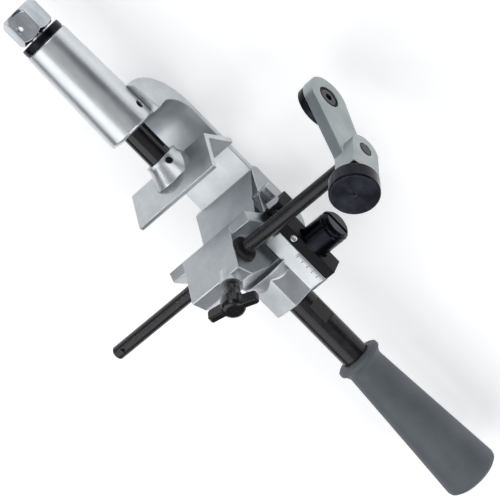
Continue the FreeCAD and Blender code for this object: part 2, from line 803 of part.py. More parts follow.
def make_knife_block():
    """Black sliding plate with a thick head that holds the blade, and a slot for the stud."""
    low = "knife_top - knife_height"
    body = box(("boss_end - knife_start", "knife_depth", "knife_height"),
               knife_point("0", "0.1", low))
    head = box(("14", "knife_head_depth", "knife_height"), knife_point("0", "0.1", low))
    pocket = box(("14", "12", "12"), knife_point("-1", "2.5", "3"))
    slot_width = "(2 * stud_radius + 0.6)"
    slot_low = f"knife_stud_height - {slot_width} / 2"
    slot = box(("18", "30", slot_width), ("knife_stud_along - 9", "knife_seat - 5", slot_low))
    slot_ends = [cylinder(f"{slot_width} / 2", "30",
                          (f"knife_stud_along + {offset}", "knife_seat - 5",
                           "knife_stud_height"), ALONG_Y)
                 for offset in (-9, 9)]
    screw_hole = cylinder("2", "12", knife_point("6.5", "8.5", "-3"), ALONG_Z)
    adjuster_hole = cylinder("2.7", "6", knife_point("27.5", "4.6", "knife_top - 4"), ALONG_Z)
    knife = cut(joined(body, head), pocket, slot, *slot_ends, screw_hole, adjuster_hole)
    return node(knife, "knife_block")


def make_blade():
    """Hardened blade, ground to a single bevel at its cutting end."""
    blade = slab([
        ("knife_start - 2.4", "3"),
        ("knife_start + 12.6", "3"),
        ("knife_start + 12.6", "6.2"),
        ("knife_start + 2.6", "6.2"),
    ], "knife_seat + 3", "11")
    hole = cylinder("2.3", "10", knife_point("6.5", "8.5", "0"), ALONG_Z)
    return node(cut(blade, hole), "blade")


def make_blade_clamp():
    plate = box(("11.5", "11", "3.4"), knife_point("1", "3", "6.2"))
    hole = cylinder("2.3", "10", knife_point("6.5", "8.5", "0"), ALONG_Z)
    return node(cut(plate, hole), "blade_clamp")


def make_blade_screw():
    screw = turned([
        ("-3", "0"),
        ("-3", "1.6"),
        ("-2.6", "2"),
        ("9.6", "2"),
        ("9.6", "3.5"),
        ("12.2", "3.5"),
        ("12.6", "3.1"),
        ("12.6", "0"),
    ], knife_point("6.5", "8.5", "0"), ALONG_Z)
    socket = prism(6, "1.8", "4", knife_point("6.5", "8.5", "10.8"), ALONG_Z)
    return node(cut(screw, socket), "blade_screw")


def make_adjusting_screw():
    """Bright slotted screw in the top of the knife block."""
    screw = turned([
        ("knife_top - 4", "0"),
        ("knife_top - 4", "2.7"),
        ("knife_top + 0.2", "2.7"),
        ("knife_top + 0.6", "2.3"),
        ("knife_top + 0.6", "0"),
    ], knife_point("27.5", "4.6", "0"), ALONG_Z)
    slot = box(("7", "0.9", "2"), knife_point("24", "4.15", "knife_top - 0.6"))
    return node(cut(screw, slot), "adjusting_screw")


def make_scale_plate():
    """Thin graduated strip beside the knife block."""
    strip = box(("26", "3.6", "0.5"), ("boss_end - 27", "knife_seat - 4.6", "knife_top"))
    return node(strip, "scale_plate")


def make_rail_scale():
    """Thin graduated strip on the side rail."""
    strip = box(("17", "3", "0.5"), ("vee_root - 13", "knife_seat - 1.6", "-18"))
    return node(strip, "rail_scale")


def make_knife_knob():
    """Black clamp knob with a coin slot in its end cap."""
    start = "knife_seat + knife_depth + 1.5"
    knob = turned([
        ("0", "stud_radius"),
        ("0", "knife_knob_radius - 0.8"),
        ("0.8", "knife_knob_radius"),
        ("17.6", "knife_knob_radius"),
        ("18.2", "knife_knob_radius - 0.7"),
        ("18.8", "knife_knob_radius - 0.7"),
        ("19.4", "knife_knob_radius - 0.1"),
        ("20.8", "knife_knob_radius - 0.1"),
        ("23.4", "knife_knob_radius - 2.6"),
        ("23.4", "0"),
        ("12", "0"),
        ("12", "stud_radius"),
    ], ("knife_stud_along", start, "knife_stud_height"), ALONG_Y)
    slot = box(("26", "4", "2.6"),
               ("knife_stud_along - 13", f"{start} + 20.4", "knife_stud_height - 1.3"))
    return node(cut(knob, slot), "knife_knob")


def make_knife_stud():
    stud = turned([
        ("18", "0"),
        ("18", "stud_radius - 0.8"),
        ("18.8", "stud_radius - 0.03"),
        ("knife_seat + knife_depth + 13.5", "stud_radius - 0.03"),
        ("knife_seat + knife_depth + 13.5", "0"),
    ], ("knife_stud_along", "0", "knife_stud_height"), ALONG_Y)
    return node(stud, "knife_stud")


def make_knife_washer():
    start = "knife_seat + knife_depth + 0.3"
    ring = cut(cylinder("10", "1.2", ("knife_stud_along", start, "knife_stud_height"), ALONG_Y),
               cylinder("stud_radius", "6",
                        ("knife_stud_along", f"{start} - 1", "knife_stud_height"), ALONG_Y))
    return node(ring, "knife_washer")


# ---------------------------------------------------------------- handle
def make_handle_rod():
    """Black rod screwed into the boss, with two wrench flats near it."""
    rod = turned([
        ("boss_end - 24", "0"),
        ("boss_end - 24", "8"),
        ("boss_end - 23", "9"),
        ("boss_end", "9"),
        ("boss_end", "handle_radius - 0.6"),
        ("boss_end + 0.6", "handle_radius"),
        ("grip_end - 38", "handle_radius"),
        ("grip_end - 37", "handle_radius - 1"),
        ("grip_end - 37", "0"),
    ])
    flats = []
    for side in (1, -1):
        roll = FreeCAD.Rotation(FreeCAD.Vector(1, 0, 0), 25 if side > 0 else 205)
        centre_y = f"{side} * 9.4 * cos(25)"
        centre_z = f"{side} * 9.4 * sin(25)"
        flat = box(("17", "6", "30"), ("0", "0", "0"))
        shift = roll.multVec(FreeCAD.Vector(0, 0, -15))
        place(flat, ("boss_end + 9", f"{centre_y} + {shift.y}", f"{centre_z} + {shift.z}"), roll)
        flats.append(flat)
    return node(cut(rod, *flats), "handle_rod")


def make_grip():
    """Rubber grip: flange, slim neck and a flared, domed end."""
    profile = [
        ("grip_start", "handle_radius"),
        ("grip_start", "15.5"),
        ("grip_start + 1.5", "18"),
        ("grip_start + 4.5", "18.2"),
        ("grip_start + 6.5", "16"),
        ("grip_start + 10", "14.6"),
        ("grip_start + 40", "16.6"),
        ("grip_start + 80", "19.4"),
        ("grip_end - 7", "22.4"),
        ("grip_end - 4", "21.6"),
        ("grip_end - 1.6", "18"),
        ("grip_end - 0.4", "11"),
        ("grip_end", "0"),
        ("grip_end - 37", "0"),
        ("grip_end - 37", "handle_radius"),
    ]
    return node(turned(profile), "handle_grip")


# ---------------------------------------------------------------- assembly
def make_all():
    make_frame()
    make_barrel()
    make_collar()
    make_thrust_washer("upper_thrust_washer", "-barrel_top + 3")
    make_thrust_washer("lower_thrust_washer", "-barrel_top + 8.5")
    make_feed_screw()
    make_feed_nut()
    make_drive_pin()
    make_plunger()
    make_plunger_nut()
    make_key_screw()
    make_jaw()
    make_jaw_set_screw()
    make_rod_bush("rod_bush_front", "guide_front - 9", "9", True)
    make_rod_bush("rod_bush_back", "-guide_back", "14", False)
    make_rod()
    make_rod_pin()
    make_wing_screw()
    make_wing_stud()
    make_clamp_pad()
    make_arm()
    make_arm_knob()
    make_arm_stud()
    make_stop_pad()
    make_pad_screw()
    make_knife_block()
    make_blade()
    make_blade_clamp()
    make_blade_screw()
    make_adjusting_screw()
    make_scale_plate()
    make_rail_scale()
    make_knife_knob()
    make_knife_stud()
    make_knife_washer()
    make_handle_rod()
    make_grip()


def check_and_write():
    """Stop on any failed object or broken shape, then write one STEP file for each node."""
    document.recompute()
    for item in document.Objects:
        if "Invalid" in item.State or "Error" in item.State:
            raise RuntimeError(f"{item.Name} ({item.Label}) failed: {item.State}")
    for item in nodes:
        if item.Shape.isNull() or not item.Shape.isValid():
            raise RuntimeError(f"{item.Label} has a null or broken shape")
    os.makedirs("parts", exist_ok=True)
    for item in nodes:
        item.Shape.exportStep(f"parts/{item.Label}.step")
        bounds = item.Shape.BoundBox
        print(f"{item.Label}: {len(item.Shape.Solids)} solid, {item.Shape.Volume:.0f} mm3, "
              f"x {bounds.XMin:.1f}..{bounds.XMax:.1f}, y {bounds.YMin:.1f}..{bounds.YMax:.1f}, "
              f"z {bounds.ZMin:.1f}..{bounds.ZMax:.1f}")


make_all()
check_and_write()
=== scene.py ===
"""Looks of the cable stripping tool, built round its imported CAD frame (metres)."""
import json
import math

import bmesh
import bpy
from mathutils import Matrix, Vector


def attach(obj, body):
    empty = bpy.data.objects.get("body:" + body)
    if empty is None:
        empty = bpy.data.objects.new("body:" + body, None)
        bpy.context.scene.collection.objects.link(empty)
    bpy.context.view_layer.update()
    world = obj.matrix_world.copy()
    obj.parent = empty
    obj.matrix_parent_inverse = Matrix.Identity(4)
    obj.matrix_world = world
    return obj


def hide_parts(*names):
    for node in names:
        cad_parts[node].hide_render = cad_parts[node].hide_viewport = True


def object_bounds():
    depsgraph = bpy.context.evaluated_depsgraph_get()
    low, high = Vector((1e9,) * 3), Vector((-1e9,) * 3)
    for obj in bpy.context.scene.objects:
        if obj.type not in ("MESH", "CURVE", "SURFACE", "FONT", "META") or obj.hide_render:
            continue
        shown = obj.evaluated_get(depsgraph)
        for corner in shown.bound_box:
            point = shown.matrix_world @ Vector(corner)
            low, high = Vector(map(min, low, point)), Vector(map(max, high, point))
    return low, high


MM = 0.001
ALONG_X = (1, 0, 0)
ALONG_Y = (0, 1, 0)

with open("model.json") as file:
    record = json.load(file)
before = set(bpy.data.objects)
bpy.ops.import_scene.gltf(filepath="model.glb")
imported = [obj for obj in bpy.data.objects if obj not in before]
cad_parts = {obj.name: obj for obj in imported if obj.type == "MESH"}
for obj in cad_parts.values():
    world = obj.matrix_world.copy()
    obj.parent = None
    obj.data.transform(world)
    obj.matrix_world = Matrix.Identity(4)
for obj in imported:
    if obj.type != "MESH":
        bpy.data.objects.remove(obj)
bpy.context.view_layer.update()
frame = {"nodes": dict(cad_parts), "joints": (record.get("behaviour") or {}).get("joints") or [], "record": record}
body_of_node = {
    node: body
    for body, members in frame["record"]["behaviour"]["bodies"].items()
    for node in members
}
joint_of_name = {row["name"]: row for row in frame["joints"]}


# ---------------------------------------------------------------- materials
NOISE_LOW, NOISE_HIGH = 0.3, 0.7      # most of a noise texture's values lie between these
TONE_LOW, TONE_HIGH = 0.34, 0.66      # where a finish reaches its dark and its light colour
RGBA_A, RGBA_B, RGBA_RESULT = 6, 7, 2   # colour sockets of a Mix node
BUMP_STRENGTH = 0.5


def fill_ramp(ramp, stops):
    """Sets a colour ramp's stops, given as (position, colour)."""
    elements = ramp.color_ramp.elements
    for index, (position, colour) in enumerate(stops):
        element = elements[index] if index < 2 else elements.new(position)
        element.position = position
        element.color = (*colour, 1)


class Finish:
    """A principled material that is put together node by node."""

    def __init__(self, name, **constants):
        self.material = bpy.data.materials.new(name)
        self.material.use_nodes = True
        self.tree = self.material.node_tree
        self.tree.nodes.clear()
        output = self.tree.nodes.new("ShaderNodeOutputMaterial")
        self.shader = self.tree.nodes.new("ShaderNodeBsdfPrincipled")
        self.tree.links.new(self.shader.outputs["BSDF"], output.inputs["Surface"])
        for socket, value in constants.items():
            self.shader.inputs[socket.replace("_", " ")].default_value = value
        self.place = self.node("ShaderNodeTexCoord").outputs["Object"]
        self.height = None

    def node(self, kind, **settings):
        made = self.tree.nodes.new(kind)
        for key, value in settings.items():
            setattr(made, key, value)
        return made

    def link(self, source, target):
        self.tree.links.new(source, target)

    def maths(self, operation, *values):
        made = self.node("ShaderNodeMath", operation=operation)
        for socket, value in zip(made.inputs, values):
            if isinstance(value, (int, float)):
                socket.default_value = value
            else:
                self.link(value, socket)
        return made.outputs[0]

    def noise(self, size_mm, detail, stretch=(1, 1, 1)):
        """Noise whose features are about size_mm across, drawn out by stretch."""
        mapping = self.node("ShaderNodeMapping")
        mapping.inputs["Scale"].default_value = [1 / share for share in stretch]
        self.link(self.place, mapping.inputs["Vector"])
        noise = self.node("ShaderNodeTexNoise")
        noise.inputs["Scale"].default_value = 1 / (size_mm * MM)
        noise.inputs["Detail"].default_value = detail
        self.link(mapping.outputs["Vector"], noise.inputs["Vector"])
        return noise.outputs["Fac"]

    def ramp(self, source, *stops):
        made = self.node("ShaderNodeValToRGB")
        fill_ramp(made, stops)
        self.link(source, made.inputs["Fac"])
        return made.outputs["Color"]

    def tones(self, source, dark, light):
        """Colour between dark and light, over the range of a mix of noises."""
        return self.ramp(source, (TONE_LOW, dark), (TONE_HIGH, light))

    def mixed(self, first, second, share):
        """A share of first, with second making up the rest."""
        return self.maths("ADD", self.maths("MULTIPLY", first, share),
                          self.maths("MULTIPLY", second, 1 - share))

    def spread(self, source, low, high):
        """Noise mapped onto low to high."""
        made = self.node("ShaderNodeMapRange")
        for socket, value in (("From Min", NOISE_LOW), ("From Max", NOISE_HIGH), ("To Min", low),
                              ("To Max", high)):
            made.inputs[socket].default_value = value
        self.link(source, made.inputs["Value"])
        return made.outputs["Result"]

    def axial(self):
        """Distance along the local Z axis, and distance from it."""
        split = self.node("ShaderNodeSeparateXYZ")
        self.link(self.place, split.inputs["Vector"])
        square = self.maths("ADD", self.maths("MULTIPLY", split.outputs["X"], split.outputs["X"]),
                            self.maths("MULTIPLY", split.outputs["Y"], split.outputs["Y"]))
        return split.outputs["Z"], self.maths("SQRT", square)

    def raise_by(self, source, share):
        """Adds a share of source to the height that the bump node reads."""
        part = self.maths("MULTIPLY", source, share)
        self.height = part if self.height is None else self.maths("ADD", self.height, part)

    def lathe_marks(self, pitch_mm, share):
        """Fine rings round the local Z axis, on the sides and on the end faces."""
        along, out = self.axial()
        phase = self.maths("MULTIPLY", self.maths("ADD", along, out), 2 * math.pi / (pitch_mm * MM))
        self.raise_by(self.maths("SINE", phase), share)

    def radial_brush(self):
        """Turns anisotropic highlights round the local Z axis."""
        tangent = self.node("ShaderNodeTangent", direction_type="RADIAL", axis="Z")
        self.link(tangent.outputs["Tangent"], self.shader.inputs["Tangent"])

    def finish(self, colour, rough=None, depth_mm=0.0):
        """Joins colour, roughness and the bump, if it has height, to the shader."""
        self.link(colour, self.shader.inputs["Base Color"])
        if rough is not None:
            self.link(rough, self.shader.inputs["Roughness"])
        if self.height is not None:
            bump = self.node("ShaderNodeBump")
            bump.inputs["Strength"].default_value = BUMP_STRENGTH
            bump.inputs["Distance"].default_value = depth_mm * MM
            self.link(self.height, bump.inputs["Height"])
            self.link(bump.outputs["Normal"], self.shader.inputs["Normal"])
        return self.material


def cast_metal(name, dark, light, rough, grain_mm=0.9, depth_mm=0.06):
    """Blasted casting: cloudy tone, fine pits and a few larger dimples."""
    look = Finish(name, Metallic=1.0)
    cloud = look.noise(16, 4)
    grain = look.noise(grain_mm, 5)
    dimples = look.noise(4.5, 2)
    look.raise_by(grain, 0.7)
    look.raise_by(dimples, 0.9)
    colour = look.tones(look.mixed(cloud, grain, 0.6), dark, light)
    return look.finish(colour, look.spread(grain, *rough), depth_mm)


def machined(name, dark, light, rough, stretch):
    """Milled or ground metal: short streaks along one direction."""
    look = Finish(name, Metallic=1.0)
    streak = look.noise(0.5, 3, stretch)
    cloud = look.noise(9, 3)
    both = look.mixed(cloud, streak, 0.5)
    look.raise_by(streak, 0.8)
    return look.finish(look.tones(both, dark, light), look.spread(both, *rough), depth_mm=0.02)


def turned_metal(name, dark, light, rough, pitch_mm=0.45, share=0.25, **constants):
    """Lathe-turned metal: rings round the local Z axis under a faint cloud."""
    look = Finish(name, Metallic=1.0, **constants)
    cloud = look.noise(7, 4, (1, 1, 2.5))
    fine = look.noise(0.8, 3, (1, 1, 0.25))
    both = look.mixed(cloud, fine, 0.6)
    look.lathe_marks(pitch_mm, share)
    look.raise_by(fine, 0.3)
    if "Anisotropic" in constants:
        look.radial_brush()
    return look.finish(look.tones(both, dark, light), look.spread(both, *rough), depth_mm=0.012)


def black_oxide(name, dark, light, rough, **constants):
    """Oiled black steel: near black, with rubbed grey patches."""
    look = Finish(name, **constants)
    cloud = look.noise(8, 4)
    grain = look.noise(1.2, 4)
    both = look.mixed(cloud, grain, 0.6)
    colour = look.ramp(both, (TONE_LOW + 0.02, dark), (TONE_HIGH + 0.02, light))
    look.raise_by(grain, 0.6)
    return look.finish(colour, look.spread(both, *rough), depth_mm=0.02)


def moulded(name, dark, light, rough, grain_mm, depth_mm, patch_mm=14, **constants):
    """Moulded plastic or rubber: spark-eroded texture over a soft tone change."""
    look = Finish(name, **constants)
    cloud = look.noise(patch_mm, 3)
    grain = look.noise(grain_mm, 4)
    cells = look.node("ShaderNodeTexVoronoi")
    cells.inputs["Scale"].default_value = 1 / (grain_mm * 1.6 * MM)
    look.link(look.place, cells.inputs["Vector"])
    look.raise_by(grain, 0.6)
    look.raise_by(cells.outputs["Distance"], 0.5)
    colour = look.tones(look.mixed(cloud, grain, 0.65), dark, light)
    return look.finish(colour, look.spread(grain, *rough), depth_mm)


def ruled(name, short_from_mm):
    """Satin plate with division lines across it, along X.

    The lines that are 5 mm apart cross the whole plate, and those 1 mm apart only show beyond
    short_from_mm in Y."""
    look = Finish(name, Metallic=1.0)
    split = look.node("ShaderNodeSeparateXYZ")
    look.link(look.place, split.inputs["Vector"])

    def lines(pitch_mm, width_mm):
        phase = look.maths("FRACT", look.maths("DIVIDE", split.outputs["X"], pitch_mm * MM))
        return look.maths("LESS_THAN", phase, width_mm / pitch_mm)

    beyond = look.maths("GREATER_THAN", split.outputs["Y"], short_from_mm * MM)
    mark = look.maths("MAXIMUM", lines(5, 0.45), look.maths("MULTIPLY", lines(1, 0.34), beyond))
    grain = look.noise(0.6, 3, (4, 1, 1))
    mix = look.node("ShaderNodeMix", data_type="RGBA")
    look.link(mark, mix.inputs["Factor"])
    look.link(look.tones(grain, (0.46, 0.47, 0.49), (0.62, 0.63, 0.65)), mix.inputs[RGBA_A])
    mix.inputs[RGBA_B].default_value = (0.01, 0.01, 0.012, 1)
    look.raise_by(look.maths("SUBTRACT", 1.0, mark), 0.8)
    look.raise_by(grain, 0.2)
    return look.finish(mix.outputs[RGBA_RESULT], look.spread(grain, 0.3, 0.45), depth_mm=0.05)


CAST = cast_metal("cast_aluminium", (0.49, 0.518, 0.537), (0.66, 0.687, 0.708), (0.34, 0.5))
# painted highlight: a lighter, glossier copy of the cast finish, given to the bevelled edges
CAST_PAINTED_HIGHLIGHT = cast_metal("cast_painted_highlight_edge", (0.78, 0.79, 0.82), (0.9, 0.9, 0.92), (0.2, 0.32), 0.7, 0.03)
MILLED_CAST = machined("milled_casting_face", (0.41, 0.435, 0.455), (0.53, 0.558, 0.578), (0.3, 0.42),
                       (1, 5, 1))
TURNED = turned_metal("turned_aluminium", (0.58, 0.61, 0.625), (0.72, 0.75, 0.765), (0.3, 0.4))
# painted highlight: a lighter, glossier copy of the turned finish, given to the bevelled edges
TURNED_PAINTED_HIGHLIGHT = turned_metal("turned_aluminium_painted_highlight", (0.8, 0.81, 0.83), (0.92, 0.92, 0.93), (0.12, 0.2))
MILLED = machined("milled_steel", (0.5, 0.528, 0.54), (0.67, 0.695, 0.708), (0.3, 0.42), (6, 1, 1))
# painted highlight: a lighter, glossier copy of the milled finish, given to the bevelled edges
MILLED_PAINTED_HIGHLIGHT = machined("milled_steel_painted_highlight", (0.78, 0.79, 0.8), (0.92, 0.92, 0.93), (0.14, 0.24), (4, 1, 1))
CHROME = turned_metal("bright_chrome", (0.36, 0.39, 0.42), (0.58, 0.61, 0.64), (0.07, 0.15), 0.6, 0.08)
# painted highlight: a lighter copy of the chrome finish, given to the bevelled edges
CHROME_PAINTED_HIGHLIGHT = turned_metal("bright_chrome_painted_highlight", (0.7, 0.72, 0.75), (0.88, 0.89, 0.92), (0.1, 0.2), 0.6,
                           0.08)
STEEL = turned_metal("ground_steel", (0.5, 0.51, 0.53), (0.68, 0.69, 0.71), (0.2, 0.34))
BRONZE = turned_metal("machined_bronze", (0.5, 0.34, 0.14), (0.68, 0.49, 0.24), (0.25, 0.38))
SATIN_GREY = cast_metal("satin_grey_casting", (0.31, 0.345, 0.35), (0.43, 0.47, 0.475), (0.3, 0.42), 0.8,
                        0.04)
# painted highlight: a lighter, glossier copy of the satin grey finish, given to the bevelled edges
SATIN_PAINTED_HIGHLIGHT = cast_metal("satin_grey_painted_highlight", (0.68, 0.71, 0.715), (0.82, 0.84, 0.845), (0.2, 0.3), 0.7, 0.02)
BLACK_STEEL = black_oxide("black_oxide_steel", (0.004, 0.004, 0.005), (0.016, 0.016, 0.018), (0.2, 0.32),
                          Specular_IOR_Level=0.4)
# rubbed wear on the black parts' edges, made lighter as a painted highlight along the bevels as well
BLACK_WEAR_AND_HIGHLIGHT = black_oxide("black_rubbed_and_highlight_edge", (0.09, 0.09, 0.1), (0.2, 0.2, 0.215), (0.2, 0.34),
                         Metallic=0.6)
POLISHED_BLACK = black_oxide("polished_black_steel", (0.003, 0.003, 0.004), (0.009, 0.009, 0.011),
                             (0.1, 0.17), Specular_IOR_Level=0.45)
ANODISED = turned_metal("black_anodised", (0.009, 0.0095, 0.013), (0.024, 0.025, 0.033), (0.2, 0.3),
                        0.5, 0.3)
KNOB_FACE = turned_metal("knob_turned_face", (0.03, 0.032, 0.042), (0.058, 0.061, 0.076), (0.26, 0.34),
                         0.5, 0.2, Anisotropic=0.85)
BLOCK_BLACK = black_oxide("anodised_block", (0.003, 0.003, 0.004), (0.012, 0.012, 0.015), (0.4, 0.55),
                          Specular_IOR_Level=0.14)
PLASTIC = moulded("black_plastic", (0.004, 0.004, 0.005), (0.011, 0.011, 0.012), (0.1, 0.2), 1.1, 0.02,
                   Specular_IOR_Level=0.45)
BUSH_PLASTIC = moulded("bush_plastic", (0.006, 0.006, 0.007), (0.016, 0.016, 0.018), (0.3, 0.45), 0.8, 0.03,
                        Specular_IOR_Level=0.35)
RUBBER = moulded("grip_rubber", (0.075, 0.088, 0.1), (0.112, 0.127, 0.142), (0.5, 0.66), 0.9, 0.07, 22)
# painted highlight: a lighter, glossier copy of the grip rubber, given to the bevelled edges
RUBBER_PAINTED_HIGHLIGHT = moulded("grip_rubber_painted_highlight", (0.14, 0.155, 0.17), (0.19, 0.205, 0.22), (0.42, 0.55), 0.9, 0.04)
RAIL_SCALE = ruled("rail_divisions", 33.0)
PLATE_SCALE = ruled("plate_divisions", 30.2)


# ---------------------------------------------------------------- pieces
MERGE_WITHIN = 2e-6                     # vertices of the import closer than this (m) are one
FLAT_WITHIN = math.radians(0.4)         # faces that meet flatter than this are one
FACE_AREA_WEIGHT = 90                   # of the weighted normals, so that flat faces shade flat
FACING = 0.9                            # cosine from which a knob's face counts as facing outward
PARALLEL = 0.999                        # cosine from which two directions count as the same


def pivot(joint):
    """Where a joint turns, in mm."""
    return [value / MM for value in joint_of_name[joint]["pos_m"]]


def crossing(joint):
    """Where a joint's axis along Y crosses the XZ plane, in mm."""
    x, _, z = pivot(joint)
    return x, 0, z


def local_frame(axis, centre):
    """Matrix whose Z is axis and whose origin is centre (mm)."""
    z = Vector(axis).normalized()
    side = Vector(ALONG_X if tuple(axis) == ALONG_Y else ALONG_Y)
    x = side.cross(z).normalized()
    y = z.cross(x)
    turn = Matrix((x, y, z)).transposed().to_4x4()
    return Matrix.Translation([value * MM for value in centre]) @ turn


def never(point):
    """For rounded: no edge stays sharp."""
    return False


def rounded(node, width_mm, face, edge=None, angle=28, segments=2, axis=None, centre=(0, 0, 0),
            leave=never):
    """Copy of a CAD node with softened edges, shown in its place.

    Its softened edges get the material edge, if that is given. axis and centre (mm) are the line
    that the piece was turned about, which becomes its local Z. Edges flatter than angle (degrees),
    and those for whose middle (mm, in local axes) leave is true, stay as they are."""
    place = local_frame(axis, centre) if axis else Matrix.Identity(4)
    mesh = frame["nodes"][node].data.copy()
    mesh.name = node + "_mesh"
    mesh.transform(place.inverted())
    shape = bmesh.new()
    shape.from_mesh(mesh)
    bmesh.ops.remove_doubles(shape, verts=shape.verts, dist=MERGE_WITHIN)
    bmesh.ops.dissolve_limit(shape, angle_limit=FLAT_WITHIN, verts=shape.verts, edges=shape.edges)
    for part in shape.faces:
        part.smooth = True
        part.material_index = 0
    corners = []
    for one in shape.edges:
        if one.is_manifold and one.calc_face_angle(0) > math.radians(angle):
            one.smooth = not leave((one.verts[0].co + one.verts[1].co) / (2 * MM))
            if one.smooth:
                corners.append(one)
    # the edge material, where given, is a lighter and glossier copy of the face's: a painted highlight along the
    # softened edges, on the black parts also rubbed wear
    bmesh.ops.bevel(shape, geom=corners, offset=width_mm * MM, offset_type="OFFSET", segments=segments,
                    profile=0.5, affect="EDGES", clamp_overlap=False, material=1 if edge else -1,
                    miter_outer="ARC")
    shape.to_mesh(mesh)
    shape.free()
    mesh.materials.clear()
    mesh.materials.append(face)
    mesh.materials.append(edge or face)
    made = bpy.data.objects.new(node + "_shown", mesh)
    bpy.context.scene.collection.objects.link(made)
    made.matrix_world = place
    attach(made, body_of_node[node])
    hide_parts(node)
    weigh = made.modifiers.new("face_normals", "WEIGHTED_NORMAL")
    weigh.mode = "FACE_AREA_WITH_ANGLE"
    weigh.weight = FACE_AREA_WEIGHT
    weigh.keep_sharp = True
    return made


def paint(piece, material, wanted):
    """Gives material to the faces for which wanted(centre_mm, normal) holds, in the row frame."""
    mesh = piece.data
    mesh.materials.append(material)
    index = len(mesh.materials) - 1
    place = piece.matrix_world
    turn = place.to_3x3()
    for part in mesh.polygons:
        if wanted((place @ part.center) / MM, (turn @ part.normal).normalized()):
            part.material_index = index


def dress(node, material):
    """Keeps a CAD node as it is, under a better material."""
    slots = frame["nodes"][node].material_slots
    if slots:
        for one in slots:
            one.link = "OBJECT"
            one.material = material
    else:
        frame["nodes"][node].data.materials.append(material)


ROD_CENTRE = crossing("arm_swing")
PAD_CENTRE = crossing("pad_spin")
KNIFE_KNOB_CENTRE = crossing("knife_lock_turn")
ARM_KNOB_CENTRE = pivot("arm_lock_turn")
ARM_KNOB_AXIS = joint_of_name["arm_lock_turn"]["axis"]
WING_AXIS = joint_of_name["rod_lock_turn"]["axis"]

# places on the casting, in mm
WING_SEAT_RADIUS = 9.5
WING_SEAT_HEIGHT = 11                   # above the rod's axis
RAIL_JUNCTION = ((38, 47), (13, 34), (-5, 13))
VEE_LEAN = math.radians(53)             # of a vee face's normal, from Z
VEE_END_X = 42                          # the vee's faces lie below this
MILLED_SIDE_X = 20                      # sides above this are milled

bpy.context.view_layer.update()


def crowded(point):
    """Small junctions of the casting: round the wing screw's seat, and beside the knife rail."""
    from_rod = point - Vector(ROD_CENTRE)
    height = from_rod.dot(Vector(WING_AXIS))
    off_axis = (from_rod - height * Vector(WING_AXIS)).length
    by_seat = off_axis < WING_SEAT_RADIUS and height > WING_SEAT_HEIGHT
    by_rail = all(low < value < high for value, (low, high) in zip(point, RAIL_JUNCTION))
    return by_seat or by_rail


def on_milled_face(centre, normal):
    """The vee's two faces, and the flat sides of the guide and the knife's seat, are milled."""
    lean = Vector((-math.sin(VEE_LEAN), 0, math.cos(VEE_LEAN)))
    lying = Vector((normal.x, normal.y, abs(normal.z)))
    on_vee = lying.dot(lean) > PARALLEL and centre.x < VEE_END_X
    along_y = abs(normal.y) > PARALLEL and centre.x > MILLED_SIDE_X
    return on_vee or along_y


casting = rounded("main_frame", 0.8, CAST, CAST_PAINTED_HIGHLIGHT, 24, leave=crowded)
paint(casting, MILLED_CAST, on_milled_face)

rounded("feed_barrel", 0.7, TURNED, TURNED_PAINTED_HIGHLIGHT, axis=ALONG_X)
rounded("retainer_collar", 0.5, ANODISED, BLACK_WEAR_AND_HIGHLIGHT, axis=ALONG_X)
rounded("feed_nut", 0.45, CHROME, CHROME_PAINTED_HIGHLIGHT, axis=ALONG_X, segments=3)
rounded("plunger", 0.5, POLISHED_BLACK, BLACK_WEAR_AND_HIGHLIGHT, axis=ALONG_X)
rounded("v_jaw", 0.5, MILLED, MILLED_PAINTED_HIGHLIGHT)
rounded("stop_rod", 0.35, BLACK_STEEL, BLACK_WEAR_AND_HIGHLIGHT, axis=ALONG_Y, centre=ROD_CENTRE)
rounded("rod_bush_front", 0.35, BUSH_PLASTIC, BLACK_WEAR_AND_HIGHLIGHT, axis=ALONG_Y, centre=ROD_CENTRE)
rounded("rod_bush_back", 0.3, BUSH_PLASTIC, axis=ALONG_Y, centre=ROD_CENTRE)
rounded("wing_screw", 0.5, PLASTIC, axis=WING_AXIS, centre=ROD_CENTRE, segments=3)
rounded("stop_arm", 0.6, SATIN_GREY, SATIN_PAINTED_HIGHLIGHT)
arm_knob = rounded("arm_knob", 0.4, ANODISED, BLACK_WEAR_AND_HIGHLIGHT, axis=ARM_KNOB_AXIS, centre=ARM_KNOB_CENTRE)
paint(arm_knob, KNOB_FACE, lambda centre, normal: normal.dot(Vector(ARM_KNOB_AXIS)) > FACING)
rounded("stop_pad", 0.4, ANODISED, BLACK_WEAR_AND_HIGHLIGHT, axis=ALONG_Y, centre=PAD_CENTRE)
rounded("knife_block", 0.5, BLOCK_BLACK, BLACK_WEAR_AND_HIGHLIGHT)
rounded("blade_clamp", 0.3, BLOCK_BLACK, BLACK_WEAR_AND_HIGHLIGHT)
knife_knob = rounded("knife_knob", 0.35, ANODISED, BLACK_WEAR_AND_HIGHLIGHT, axis=ALONG_Y, centre=KNIFE_KNOB_CENTRE)
paint(knife_knob, KNOB_FACE, lambda centre, normal: normal.y > FACING)
rounded("handle_rod", 0.35, BLACK_STEEL, BLACK_WEAR_AND_HIGHLIGHT, axis=ALONG_X)
rounded("handle_grip", 0.6, RUBBER, RUBBER_PAINTED_HIGHLIGHT, axis=ALONG_X, segments=3)
rounded("scale_plate", 0.12, PLATE_SCALE)
rounded("rail_scale", 0.12, RAIL_SCALE)
rounded("adjusting_screw", 0.25, STEEL, MILLED_PAINTED_HIGHLIGHT)

